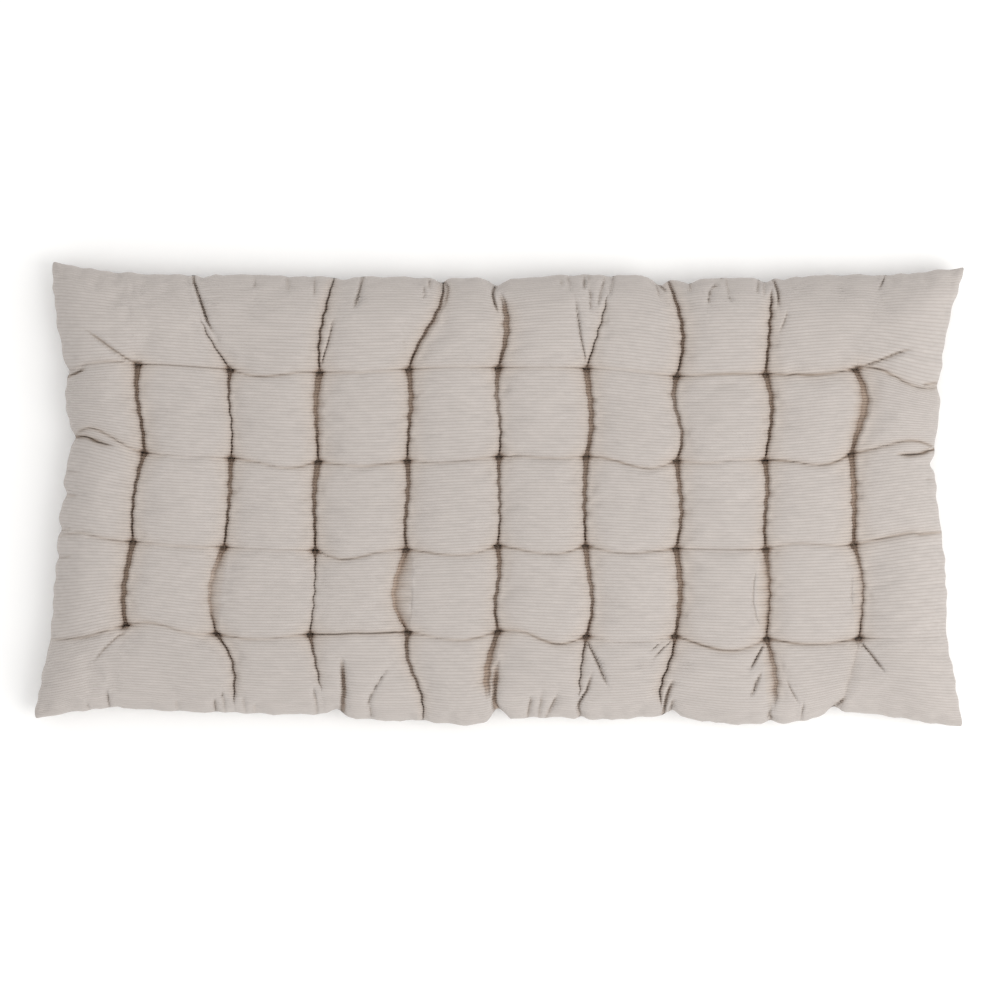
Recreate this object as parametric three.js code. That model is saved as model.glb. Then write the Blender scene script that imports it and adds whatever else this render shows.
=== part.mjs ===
// Tufted floor mattress, 120 x 60 cm, lying flat on its back.
//
// A knife-edge cover of ribbed cloth is filled and pinched through by nine columns of four tufts. Each tuft
// is held by a short bar of thread. Creases run from tuft to tuft, deep across the ribs and shallow along
// them, and the outer cells roll down to the seam, which ends in four flat pointed corners.
//
// Millimetres. +X runs along the long side, +Y towards the back edge, +Z up. The origin is on the floor
// under the middle of the bounding box.

import * as THREE from 'three';

const cellsAlong = 10;
const cellsAcross = 5;

// Heights above the floor.
const crownHeight = 76; // top of a full cell
const seamHeight = 30; // the edge seam
const tuftTopHeight = 44; // floor of a tuft's pit, seen from above
const tuftUnderHeight = 22; // roof of a tuft's pit on the underside

// How the cover rolls over to the edge seam.
const topRoll = 62; // distance in from the seam at which the top face is at its full height
const underRoll = 44;
const floorPress = 6; // how far the filling would bulge below the floor if the floor gave way

// A crease's flank is part steep fold and part soft shoulder.
const foldReach = 10;
const shoulderReach = 56;
const foldShare = 0.45;
const pitSpread = 3.5; // a higher power keeps the pits closer to their tufts
const meeting = 3; // how sharply two creases that meet share their depth
const underDepthShare = 0.5; // the underside's creases, against the top's

// The thread bar that closes each tuft, and the flat it lies on.
const tackLength = 9;
const tackWidth = 2.4;
const tackThickness = 1.4;
const tackArcSteps = 3;
const tackGap = 0.3;
const landing = { x: 6.8, y: 4.2, fade: 16 };

const clothColour = 0xc6beb7;
const threadColour = 0xb3a79b;

// Where the crease lines cross: the two edges and the four rows of tufts between them, each from the left
// edge through the nine tufts to the right edge.
const rowLines = [
  {
    line: 'back edge',
    x: [-582, -483, -395, -215, -73, -4, 146, 219, 353, 500, 605],
    y: [302, 288, 285, 282, 280, 278, 284, 278, 280, 285, 295],
  },
  {
    line: 'first tufts',
    x: [-563, -468, -349, -233, -118, -2, 112, 229, 344, 460, 571],
    y: [161, 168, 162, 158, 162, 164, 163, 153, 156, 162, 139],
  },
  {
    line: 'second tufts',
    x: [-556, -460, -348, -235, -120, -1, 112, 229, 343, 455, 564],
    y: [74, 54, 47, 43, 44, 49, 49, 44, 44, 53, 61],
  },
  {
    line: 'third tufts',
    x: [-574, -475, -357, -239, -121, -3, 111, 228, 344, 458, 574],
    y: [-55, -61, -68, -72, -71, -66, -66, -70, -71, -65, -51],
  },
  {
    line: 'fourth tufts',
    x: [-584, -484, -367, -246, -119, -2, 112, 227, 345, 465, 580],
    y: [-188, -170, -180, -181, -178, -177, -183, -183, -186, -186, -184],
  },
  {
    line: 'front edge',
    x: [-605, -498, -343, -226, -100, -6, 104, 214, 351, 441, 601],
    y: [-291, -278, -283, -285, -293, -296, -292, -287, -297, -283, -302],
  },
];

// Creases that run from the back edge to the front, one row for each column of tufts and one value for each
// stretch between two tufts. bow and waver swing the line to the right, deep is its depth halfway along.
const columnCreases = [
  { column: 1, bow: [0, -3, -6, -6, 0], waver: [0, -2, 0, 1, 0], deep: [4, 19, 18, 20, 5] },
  { column: 2, bow: [-4, 0, 2, -13, 11], waver: [2, -2, 0, 0, 3], deep: [13, 17, 17, 13, 14] },
  { column: 3, bow: [-6, -4, -3, 3, 1], waver: [1, -1, -1, 0, 0], deep: [17, 19, 18, 15, 11] },
  { column: 4, bow: [6, 3, 0, -17, 1], waver: [4, 1, 2, 2, -2], deep: [21, 18, 17, 15, 14] },
  { column: 5, bow: [5, 0, 2, -1, -7], waver: [-6, -2, -1, 3, -3], deep: [21, 15, 15, 16, 19] },
  { column: 6, bow: [3, 6, -2, 7, -3], waver: [0, -1, 0, -2, 0], deep: [13, 18, 17, 16, 12] },
  { column: 7, bow: [12, 2, 6, 6, -5], waver: [-1, -5, -1, 0, 4], deep: [21, 17, 17, 19, 18] },
  { column: 8, bow: [1, 8, 1, 3, 6], waver: [0, 1, 2, 0, 1], deep: [18, 19, 17, 16, 15] },
  { column: 9, bow: [0, 14, 2, 9, 0], waver: [0, 3, 0, 1, 0], deep: [4, 19, 18, 15, 9] },
];

// Creases that run from the left edge to the right, one row for each row of tufts. sag drops the line towards
// the front edge.
const rowCreases = [
  { row: 1, sag: [-8, 0, 6, 2, -2, 1, -2, -1, 6, 4], deep: [6, 6, 7, 6, 5, 5, 5, 7, 10, 8] },
  { row: 2, sag: [-10, 1, 7, 6, 5, 2, 10, 2, 8, -9], deep: [8, 5, 6, 6, 5, 6, 7, 5, 7, 8] },
  { row: 3, sag: [-2, 3, 1, 9, 9, 11, 7, 1, 1, -9], deep: [6, 6, 4, 6, 7, 7, 6, 5, 6, 8] },
  { row: 4, sag: [5, -2, 3, 0, 9, 6, 10, 16, 7, 0], deep: [9, 8, 7, 9, 6, 8, 5, 9, 8, 4] },
];

// How far each stretch of the seam stands out past a straight line between its ends.
const backBulge = [-2, 0, 2, 2, 3, 3, 3, 3, 3, -1];
const frontBulge = [-2, 2, 2, 4, 4, -5, 3, 4, 4, -1];
const leftBulge = [4, 4, 2, 0, 1];
const rightBulge = [-6, 3, -2, 3, 1];

// Where the mesh is cut across one cell, as shares of its width: close together beside the creases.
const cutsAlong = [0, 0.05, 0.13, 0.28, 0.5, 0.72, 0.87, 0.95];
const cutsAcross = [0, 0.03, 0.14, 0.36, 0.64, 0.86, 0.97];

const mix = (a, b, share) => a + (b - a) * share;

// The sideways swing of a line, none at its ends.
const swing = (share, bow, waver) => bow * Math.sin(Math.PI * share) + waver * Math.sin(2 * Math.PI * share);

// A quarter of an ellipse: 1 with an upright wall at 0, and 0 with a level end at the reach.
function flank(distance, reach) {
  const left = Math.max(0, 1 - Math.max(0, distance) / reach);
  return 1 - Math.sqrt(1 - left * left);
}

const creaseFlank = (distance) =>
  foldShare * flank(distance, foldReach) + (1 - foldShare) * flank(distance, shoulderReach);

// The cover's rise from its seam: 0 at the seam, upright there, and 1 where the roll ends.
const rise = (distance, roll) => 1 - flank(distance, roll);

// A point of the line down column number `column`, in the stretch below row line `row`.
function onColumn(column, row, share) {
  const from = rowLines[row];
  const to = rowLines[row + 1];
  let aside = 0;
  if (column === 0) aside = -swing(share, leftBulge[row], 0);
  else if (column === cellsAlong) aside = swing(share, rightBulge[row], 0);
  else aside = swing(share, columnCreases[column - 1].bow[row], columnCreases[column - 1].waver[row]);
  const x = mix(from.x[column], to.x[column], share) + aside;
  const y = mix(from.y[column], to.y[column], share);
  return new THREE.Vector2(x, y);
}

// A point of the line along row line `row`, in the stretch right of column number `column`.
function onRow(row, column, share) {
  const { x, y } = rowLines[row];
  let down = 0;
  if (row === 0) down = -swing(share, backBulge[column], 0);
  else if (row === cellsAcross) down = swing(share, frontBulge[column], 0);
  else down = swing(share, rowCreases[row - 1].sag[column], 0);
  return new THREE.Vector2(mix(x[column], x[column + 1], share), mix(y[column], y[column + 1], share) - down);
}

// The place in plan of a point of cell (column, row), spread between the cell's four crease lines, and how
// wide and how high the cell is there.
function placeInCell(column, row, along, across) {
  const back = onRow(row, column, along);
  const front = onRow(row + 1, column, along);
  const left = onColumn(column, row, across);
  const right = onColumn(column + 1, row, across);
  const corner = (c, r) => new THREE.Vector2(rowLines[r].x[c], rowLines[r].y[c]);
  const between = back.clone().lerp(front, across).add(left.clone().lerp(right, along));
  const straight = corner(column, row)
    .lerp(corner(column + 1, row), along)
    .lerp(corner(column, row + 1).lerp(corner(column + 1, row + 1), along), across);
  return { place: between.sub(straight), wide: left.distanceTo(right), high: back.distanceTo(front) };
}

// A crease's depth at a distance from the nearest tuft's landing: the whole pit there, `deep` far from it.
function creaseDepth(deep, distance, length, pit) {
  const near = Math.max(0, 1 - (2 * Math.max(0, distance)) / length);
  return mix(deep, pit, Math.pow(near, pitSpread));
}

// How far one face is drawn in at a point of a cell, by the four lines round it.
function drawnIn(column, row, along, across, { wide, high }, pit, share) {
  const lines = {
    left: { is: column > 0, distance: along * wide },
    right: { is: column < cellsAlong - 1, distance: (1 - along) * wide },
    back: { is: row > 0, distance: across * high },
    front: { is: row < cellsAcross - 1, distance: (1 - across) * high },
  };
  const reachOf = (line) => (line.is ? line.distance : Infinity);
  const fromRow = Math.min(reachOf(lines.back), reachOf(lines.front)) - landing.y;
  const fromColumn = Math.min(reachOf(lines.left), reachOf(lines.right)) - landing.x;
  const foldFloor = landing.x * Math.max(0, 1 - Math.max(0, fromRow) / landing.fade);
  const fold = (line, crease) => {
    if (!line.is) return 0;
    const depth = creaseDepth(crease.deep[row] * share, fromRow, high, pit);
    return depth * creaseFlank(line.distance - foldFloor);
  };
  const dip = (line, crease) => {
    if (!line.is) return 0;
    const depth = creaseDepth(crease.deep[column] * share, fromColumn, wide, pit);
    return depth * creaseFlank(line.distance - landing.y);
  };
  const leftFold = fold(lines.left, columnCreases[column - 1]);
  const rightFold = fold(lines.right, columnCreases[column]);
  const backDip = dip(lines.back, rowCreases[row - 1]);
  const frontDip = dip(lines.front, rowCreases[row]);
  const deepest = [Math.max(leftFold, rightFold), Math.max(backDip, frontDip)];
  return Math.pow(Math.pow(deepest[0], meeting) + Math.pow(deepest[1], meeting), 1 / meeting);
}

// How far the cover has risen from the seam at a point of a cell, from 0 to 1.
function risen(column, row, along, across, { wide, high }, roll) {
  let height = 1;
  if (column === 0) height *= rise(along * wide, roll);
  if (column === cellsAlong - 1) height *= rise((1 - along) * wide, roll);
  if (row === 0) height *= rise(across * high, roll);
  if (row === cellsAcross - 1) height *= rise((1 - across) * high, roll);
  return height;
}

// The depth that two creases of the same depth make where they meet.
const metDepth = Math.pow(2, 1 / meeting);
const topPit = (crownHeight - tuftTopHeight) / metDepth;
const underPit = (tuftUnderHeight + floorPress) / metDepth;

function topHeight(column, row, along, across, plan) {
  const up = risen(column, row, along, across, plan, topRoll);
  const inward = drawnIn(column, row, along, across, plan, topPit, 1);
  return seamHeight + (crownHeight - seamHeight) * up - inward * up;
}

function underHeight(column, row, along, across, plan) {
  const down = risen(column, row, along, across, plan, underRoll);
  const inward = drawnIn(column, row, along, across, plan, underPit, underDepthShare);
  return Math.max(0, seamHeight - (seamHeight + floorPress) * down + inward * down);
}

// All the cuts from one edge of the mattress to the other, each as a cell number and a share of that cell.
function cutsThrough(cells, cuts) {
  const all = [];
  for (let cell = 0; cell < cells; cell += 1) {
    for (const share of cuts) all.push({ cell, share });
  }
  all.push({ cell: cells - 1, share: 1 });
  return all;
}

// The filled cover: a top face and an under face on one plan, joined at the seam.
function filledCover() {
  const alongCuts = cutsThrough(cellsAlong, cutsAlong);
  const acrossCuts = cutsThrough(cellsAcross, cutsAcross);
  const last = { along: alongCuts.length - 1, across: acrossCuts.length - 1 };
  const corners = [];
  const triangles = [];
  const top = [];
  const under = [];
  acrossCuts.forEach((acrossCut, r) => {
    alongCuts.forEach((alongCut, c) => {
      const where = [alongCut.cell, acrossCut.cell, alongCut.share, acrossCut.share];
      const plan = placeInCell(...where);
      const onSeam = r === 0 || c === 0 || r === last.across || c === last.along;
      top.push(corners.length / 3);
      corners.push(plan.place.x, plan.place.y, topHeight(...where, plan));
      if (onSeam) {
        under.push(top.at(-1));
      } else {
        under.push(corners.length / 3);
        corners.push(plan.place.x, plan.place.y, underHeight(...where, plan));
      }
    });
  });
  const wide = alongCuts.length;
  for (let r = 0; r < last.across; r += 1) {
    for (let c = 0; c < last.along; c += 1) {
      const a = r * wide + c;
      const b = a + 1;
      const d = a + wide;
      const e = d + 1;
      // The diagonal runs away from the mattress's nearest corner, so that no triangle lies all on the seam.
      const falling = (r < last.across / 2) === (c < last.along / 2);
      const cut = falling ? [[a, d, e], [a, e, b]] : [[a, d, b], [b, d, e]];
      for (const [p, q, s] of cut) {
        triangles.push(top[p], top[q], top[s]);
        triangles.push(under[p], under[s], under[q]);
      }
    }
  }
  const geometry = new THREE.BufferGeometry();
  geometry.setAttribute('position', new THREE.Float32BufferAttribute(corners, 3));
  geometry.setIndex(triangles);
  geometry.computeVertexNormals();
  return geometry;
}

// A flat bar of thread with round ends, standing on z = 0.
function threadBar() {
  const half = tackWidth / 2;
  const reach = tackLength / 2 - half;
  const outline = new THREE.Shape();
  outline.moveTo(-reach, -half);
  outline.lineTo(reach, -half);
  outline.absarc(reach, 0, half, -Math.PI / 2, Math.PI / 2, false);
  outline.lineTo(-reach, half);
  outline.absarc(-reach, 0, half, Math.PI / 2, (3 * Math.PI) / 2, false);
  const cut = { depth: tackThickness, bevelEnabled: false, curveSegments: tackArcSteps };
  return new THREE.ExtrudeGeometry(outline, cut);
}

const mattress = new THREE.Group();
mattress.name = 'floor_mattress';

const cloth = new THREE.MeshStandardMaterial({ color: clothColour, roughness: 0.95, metalness: 0 });
const thread = new THREE.MeshStandardMaterial({ color: threadColour, roughness: 0.85, metalness: 0 });

const cover = new THREE.Mesh(filledCover(), cloth);
cover.name = 'filled_cover';
mattress.add(cover);

for (let row = 1; row < cellsAcross; row += 1) {
  for (let column = 1; column < cellsAlong; column += 1) {
    const tack = new THREE.Mesh(threadBar(), thread);
    tack.name = `tuft_tack_r${row}_c${column}`;
    tack.position.set(rowLines[row].x[column], rowLines[row].y[column], tuftTopHeight + tackGap);
    mattress.add(tack);
  }
}

export default mattress;
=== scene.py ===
import math

import bmesh
import bpy
import numpy as np
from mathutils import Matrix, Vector


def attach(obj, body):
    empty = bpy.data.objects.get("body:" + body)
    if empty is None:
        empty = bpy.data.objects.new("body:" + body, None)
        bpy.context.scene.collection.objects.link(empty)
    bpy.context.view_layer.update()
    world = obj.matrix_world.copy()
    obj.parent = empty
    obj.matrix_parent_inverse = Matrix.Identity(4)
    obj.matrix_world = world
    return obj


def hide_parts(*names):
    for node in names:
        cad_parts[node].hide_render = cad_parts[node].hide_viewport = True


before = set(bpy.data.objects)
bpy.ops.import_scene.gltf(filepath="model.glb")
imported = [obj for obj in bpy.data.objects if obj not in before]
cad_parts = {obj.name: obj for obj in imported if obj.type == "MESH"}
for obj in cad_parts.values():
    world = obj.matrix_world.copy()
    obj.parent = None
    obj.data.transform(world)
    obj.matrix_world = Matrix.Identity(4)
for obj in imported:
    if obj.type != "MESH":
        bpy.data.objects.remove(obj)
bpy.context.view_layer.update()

mm = 0.001
print("frame loaded:", len(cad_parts), "solids")

# Heights above the floor and the way the cover falls in, all in millimetres.
cover = {
    "crown": 76,
    "seam": 30,
    "tuftTop": 44,
    "tuftUnder": 22,
    "topRoll": 62,
    "underRoll": 44,
    "floorPress": 6,
    "wedge": 0.58,       # over 0.5 the two faces meet at the seam at an angle
    "foldReach": 4,      # from the crease's floor up its steep side
    "shoulderReach": 56,
    "foldShare": 0.5,
    "foldBlur": 3.5,     # what the shaded hollow shows wider than its floor is
    "foldLeast": 0.3,
    "foldWander": 0.7,
    "foldFull": 9,       # deep enough for a crease to lead the cloth into a tuft's pit
    "foldKeep": 0.4,     # how a crease and a pleat fade on the roll down to the seam
    "pleatKeep": 0.2,
    "facetBlend": 8,
    "endShare": 0.25,    # of a stretch, over which a crease ends in the margin
    "lineReach": 8,      # of a level crease's sharp part
    "lineFrom": 6,       # its painted shade is drawn this far from its line, and fades over the last part
    "lineOver": 3,
    "meeting": 3,
    "pitSpread": 3.5,
    "pitSharp": 0.6,     # share of a tuft's pit that is its slot
    "slotSpread": 16,
    "slotHalf": 4.1,     # half the length of a tuft's slot
    "slotGap": 1.5,
    "slotArm": 26,       # how fast a slot ends along the level creases
    "slotBelow": 5,
    "slotAbove": 2,
    "pitRound": 1.5,
    "earRound": 4,
    "underShare": 0.5,
    "underLeast": 0.05,
    "ribPitch": 3.9,
    "ribHeight": 0.24,
    "ribRows": 2,
    "ribsInRow": [36, 29, 30, 29, 34],
    "marginWide": 116,
}
farOff = 1e3             # stands for a seam or a tuft that isn't beside a point

# Where the crease lines cross, from the back edge to the front and from the left edge to the right.
crossX = np.array([
    [-582, -483, -395, -215, -73, -4, 146, 219, 353, 500, 605],
    [-563, -468, -349, -233, -118, -2, 112, 229, 344, 460, 571],
    [-556, -460, -348, -235, -120, -1, 112, 229, 343, 455, 564],
    [-574, -475, -357, -239, -121, -3, 111, 228, 344, 458, 574],
    [-584, -484, -367, -246, -119, -2, 112, 227, 345, 465, 580],
    [-605, -498, -343, -226, -100, -6, 104, 214, 351, 441, 601],
], float)
crossY = np.array([
    [302, 288, 285, 282, 280, 278, 284, 278, 280, 285, 295],
    [161, 168, 162, 158, 162, 164, 163, 153, 156, 162, 139],
    [74, 54, 47, 43, 44, 49, 49, 44, 44, 53, 61],
    [-55, -61, -68, -72, -71, -66, -66, -70, -71, -65, -51],
    [-188, -170, -180, -181, -178, -177, -183, -183, -186, -186, -184],
    [-291, -278, -283, -285, -293, -296, -292, -287, -297, -283, -302],
], float)
lastCell, lastRow = 9, 4

# Creases from the back edge to the front: a value for each stretch between two rows of tufts. wide is the
# width of the shaded hollow at the stretch's two ends and leaf what it gains halfway. backEnd and frontEnd
# say how far the first and the last stretch run, as a share of the way from the tuft to the seam. The first
# and the last column are the side seams, which only bow.
sideSeam = {"waver": [0] * 5, "deep": [0] * 5, "wide": [(0, 0)] * 5, "leaf": [0] * 5,
            "backEnd": 0, "frontEnd": 0}
columnFolds = [
    {"column": 0, "bow": (-4, -4, -2, 0, -1), **sideSeam},
    {"column": 1, "bow": (0, -3, -6, -6, 0), "waver": (0, -2, 0, 1, 0), "deep": (0, 19, 17, 20, 0),
     "wide": ((1, 1), (9, 6), (7, 4), (9, 7), (2, 1)), "leaf": (0, -1, 0, 0, 0),
     "backEnd": 0.35, "frontEnd": 0.3},
    {"column": 2, "bow": (-13, 0, 2, -13, 11), "waver": (0, -2, 0, 0, 3), "deep": (9, 14, 17, 13, 14),
     "wide": ((2, 3), (7, 3), (8, 4), (9, 3), (5, 3)), "leaf": (0, -1, 0, 0.5, 1),
     "backEnd": 0.6, "frontEnd": 0.95},
    {"column": 3, "bow": (-6, -4, -3, 3, 1), "waver": (1, -1, -1, 0, 0), "deep": (17, 19, 18, 9, 12),
     "wide": ((4, 4), (11, 4), (10, 4), (5, 2), (6, 3)), "leaf": (1, -1, 0, 0, 0),
     "backEnd": 2, "frontEnd": 0.75},
    {"column": 4, "bow": (6, 3, 0, -17, -1), "waver": (4, 1, 2, 2, -5), "deep": (18, 18, 17, 16, 15),
     "wide": ((4, 4), (9, 4), (8, 5), (8, 4), (7, 3)), "leaf": (2, 0, 0, 1.5, 1),
     "backEnd": 2, "frontEnd": 2},
    {"column": 5, "bow": (12, 0, 2, -1, -13), "waver": (0, -2, -1, 3, 0), "deep": (18, 13, 13, 16, 18),
     "wide": ((3, 4), (8, 4), (7, 4), (8, 5), (7, 4)), "leaf": (6, 0, 0, 0, 4),
     "backEnd": 0.9, "frontEnd": 0.8},
    {"column": 6, "bow": (2, 6, -2, 7, -4), "waver": (0, -1, 0, -2, 0), "deep": (11, 18, 17, 16, 11),
     "wide": ((2, 4), (10, 7), (9, 4), (9, 5), (5, 3)), "leaf": (1, 0, 0, 0, 0),
     "backEnd": 0.85, "frontEnd": 0.8},
    {"column": 7, "bow": (12, 2, 6, 6, -8), "waver": (-1, -5, -1, 0, 4), "deep": (20, 14, 17, 19, 17),
     "wide": ((5, 4), (8, 5), (8, 5), (9, 5), (5, 4)), "leaf": (2, 0, 0, 1, 0),
     "backEnd": 2, "frontEnd": 0.95},
    {"column": 8, "bow": (1, 8, 1, 5, 9), "waver": (0, 1, 2, 0, 0), "deep": (18, 19, 17, 17, 15),
     "wide": ((4, 5), (9, 4), (8, 5), (8, 4), (6, 4)), "leaf": (1, 0, 0, -2.5, 2),
     "backEnd": 0.95, "frontEnd": 0.85},
    {"column": 9, "bow": (0, 14, 2, 9, 0), "waver": (0, 3, 0, 1, 0), "deep": (0, 18, 18, 14, 4),
     "wide": ((1, 1), (8, 6), (9, 6), (7, 3.5), (2, 2)), "leaf": (0, 3, 1, -1.5, 0),
     "backEnd": 0.3, "frontEnd": 2},
    {"column": 10, "bow": (-6, 3, -2, 3, 1), **sideSeam},
]


# Rows of plain values, each made a dictionary.
def named(keys, rows):
    return [dict(zip(keys, row)) for row in rows]


# Creases with one soft side, where a facet of cloth leans in: how far that side reaches.
facets = named(("column", "row", "left", "right"), [
    (2, 3, 5, 16), (4, 3, 4, 22), (8, 3, 18, 4), (9, 3, 13, 4), (3, 1, 5, 8),
    (9, 1, 10, 5), (9, 4, 22, 14), (5, 4, 5, 8), (8, 4, 12, 5), (4, 0, 5, 7),
])

# Creases from the left edge to the right. sag drops the line towards the front edge, skew shifts its lowest
# place to the left, deep is the soft hollow and line the sharp crease in it, which also sets how dark its
# painted shade line is drawn.
rowFolds = [
    {"row": 1, "sag": (-6, 0, 6, 2, -1, 1, -2, -2, 6, 1), "skew": (0, 0, 3, 0, 0, 0, 0, 0, -1, -5),
     "deep": (4, 3, 3, 3, 3, 3, 3, 3, 5, 5), "line": (1.4, 1, 2.5, 1.2, 1, 1, 0.8, 3.2, 4.2, 3.4)},
    {"row": 2, "sag": (-14, 1, 8, 6, 5, 2, 9, 1, 9, -9), "skew": (-5, 0, -3, 0, 1, -1, -4, 2, -4, 3),
     "deep": (5, 2, 3, 3, 3, 3, 3, 3, 4, 5), "line": (2.6, 0.6, 2.2, 2, 1.2, 1.6, 3, 1, 3.8, 3.2)},
    {"row": 3, "sag": (-4, 2, 1, 9, 10, 11, 8, 0, -5, -5), "skew": (-3, 0, 0, 4, -2, -2, 1, 0, -2, 0),
     "deep": (4, 3, 2, 3, 3, 3, 3, 3, 3, 5), "line": (1.6, 0.8, 0.8, 2.6, 2.4, 2.6, 2.2, 0.8, 1.2, 2.4)},
    {"row": 4, "sag": (5, -2, 5, 0, 11, 7, 8, 16, 7, 0), "skew": (0, -4, 1, 0, -2, -6, 0, -2, 0, 0),
     "deep": (4, 4, 3, 4, 3, 4, 2, 4, 4, 1), "line": (2.2, 1.6, 1.8, 3.6, 2.2, 3.4, 0.5, 3.8, 3.4, 0)},
]

# How far each stretch of the back and front seam stands out between its ends.
backBulge = np.array([-2, 0, 2, 2, 3, 3, 3, 3, 3, -1], float)
frontBulge = np.array([-2, 2, 2, 4, 4, -5, 3, 4, 4, -1], float)

# Pleats in the margins that run mostly across the ribs. They start at the inner end, and an open one ends at
# the seam or a tuft.
pleats = named(("route", "wide", "deep", "open"), [
    (((-366, 200), (-377, 222), (-387, 250), (-398, 284)), 2, 14, True),
    (((-210, 238), (-216, 221), (-222, 195), (-229, 172)), 1, 10, True),
    (((-188, 234), (-183, 257), (-178, 282)), 2, 11, True),
    (((-240, 248), (-240, 266), (-241, 282)), 1, 6, True),
    (((-124, 206), (-123, 195), (-120, 180)), 1, 3, False),
    (((-73, 236), (-68, 255), (-67, 268), (-75, 281)), 2, 11, True),
    (((-92, 263), (-91, 281)), 1, 9, True),
    (((-98, 248), (-98, 274)), 1, 6, False),
    (((-1, 228), (-6, 246), (-9, 260), (-5, 279)), 2, 12, True),
    (((97, 264), (99, 244), (104, 205), (111, 170)), 1, 8, True),
    (((117, 226), (117, 250), (116, 284)), 1, 7, True),
    (((127, 238), (131, 262), (136, 284)), 1, 8, True),
    (((142, 250), (148, 284)), 1, 7, True),
    (((110, 262), (109, 284)), 1, 9, True),
    (((90, 258), (89, 284)), 1, 6, True),
    (((81, 266), (80, 284)), 1, 8, True),
    (((217, 260), (207, 279)), 2, 10, True),
    (((207, 252), (203, 279)), 1, 6, True),
    (((270, 236), (273, 263), (288, 281)), 1, 9, True),
    (((303, 242), (296, 257), (293, 281)), 1, 7, True),
    (((246, 260), (247, 281)), 1, 9, True),
    (((332, 252), (336, 281)), 1, 7, True),
    (((341, 250), (344, 281)), 1, 7, True),
    (((361, 236), (360, 262), (355, 281)), 2, 12, True),
    (((373, 242), (369, 225), (361, 204)), 1, 7, False),
    (((491, 264), (502, 287)), 1, 8, True),
    (((-274, 260), (-275, 284)), 1, 9, True),
    (((-317, 262), (-318, 284)), 1, 6, True),
    (((-204, -206), (-203, -226), (-202, -252), (-204, -284)), 4, 17, True),
    (((-139, -216), (-155, -240), (-168, -266), (-167, -286)), 1, 7, True),
    (((-370, -262), (-369, -283)), 1, 10, True),
    (((-360, -250), (-357, -283)), 1, 7, True),
    (((-333, -256), (-330, -283)), 1, 6, True),
    (((-318, -268), (-318, -286)), 1, 8, True),
    (((-242, -244), (-238, -270), (-237, -286)), 1, 7, True),
    (((-508, -252), (-507, -279)), 1, 8, True),
    (((-419, -264), (-418, -282)), 1, 8, True),
    (((-536, -266), (-532, -284)), 1, 6, True),
    (((-3, -206), (-5, -240), (-7, -267), (-3, -295)), 5, 20, True),
    (((41, -256), (36, -292)), 1.5, 10, True),
    (((55, -248), (51, -290)), 1, 7, True),
    (((75, -254), (60, -291)), 1.5, 10, True),
    (((120, -224), (113, -252), (103, -270), (104, -292)), 2, 11, True),
    (((142, -254), (134, -235), (124, -212), (114, -190)), 1.5, 11, True),
    (((226, -234), (217, -260), (212, -288)), 3, 15, True),
    (((225, -262), (221, -288)), 2, 10, True),
    (((194, -204), (204, -194), (213, -187)), 1, 6, False),
    (((197, -216), (208, -202), (224, -186)), 1, 8, True),
    (((320, -233), (327, -220), (336, -203), (344, -188)), 1.5, 11, True),
    (((338, -225), (331, -244), (324, -266)), 2, 10, False),
    (((347, -250), (348, -276), (352, -297)), 2, 12, True),
    (((369, -232), (377, -252), (388, -274)), 1, 6, False),
    (((393, -266), (391, -292)), 1, 6, True),
    (((499, -233), (482, -209), (466, -188)), 1.5, 10, True),
    (((447, -260), (434, -284)), 3, 13, True),
])

# Edges of the facets beside some creases, as shallow pleats from tuft to tuft.
pleats += named(("route", "wide", "deep", "open"), [
    (((341, -78), (331, -98), (327, -128), (331, -157), (342, -180)), 1, 4, True),
    (((457, -80), (455, -110), (456, -140), (464, -180)), 1, 3.5, True),
    (((-117, -84), (-114, -110), (-114, -145), (-117, -172)), 1, 3, True),
])

# Pleats that run mostly along the ribs.
sidePleats = named(("route", "wide", "deep", "open"), [
    (((540, 190), (517, 184), (488, 172), (462, 164)), 1, 9, True),
    (((508, 52), (530, 51), (548, 54), (566, 59)), 1.5, 15, True),
    (((528, -53), (574, -49)), 1, 7, True),
    (((544, 142), (572, 145)), 2, 8, True),
    (((-544, 218), (-520, 203), (-494, 184), (-472, 171)), 1, 8, True),
    (((-534, 162), (-564, 153)), 2, 12, True),
    (((-496, 61), (-518, 67), (-536, 74), (-558, 75)), 1.5, 14, True),
    (((-545, -2), (-568, -1)), 1, 5, True),
    (((-553, -45), (-574, -46)), 1, 4, True),
    (((-551, -80), (-575, -82)), 1, 4, True),
    (((-528, -220), (-510, -200), (-488, -180)), 1, 6, True),
    (((-541, 28), (-566, 30)), 1, 3, True),
    (((548, 20), (568, 18)), 1, 3, True),
])

# Where the seam is gathered in, by side and place along it.
gathers = named(("side", "at", "deep", "wide"), [
    ("back", -384, 4, 8), ("back", -275, 3, 7), ("back", -202, 4, 8), ("back", -76, 5, 7),
    ("back", -4, 7, 9), ("back", 208, 8, 9), ("back", 246, 6, 8), ("back", 345, 4, 8),
    ("back", 368, 3, 7), ("front", -496, 3, 7), ("front", -212, 8, 10), ("front", -2, 18, 11),
    ("front", 106, 4, 6), ("front", 225, 8, 9), ("front", 352, 4, 8), ("front", 434, 8, 10),
    ("left", 159, 4, 8), ("left", 75, 6, 9), ("left", -1, 5, 8), ("left", -45, 3, 6),
    ("left", -81, 3, 6), ("right", 144, 3, 8), ("right", 38, 5, 8),
])

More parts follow.
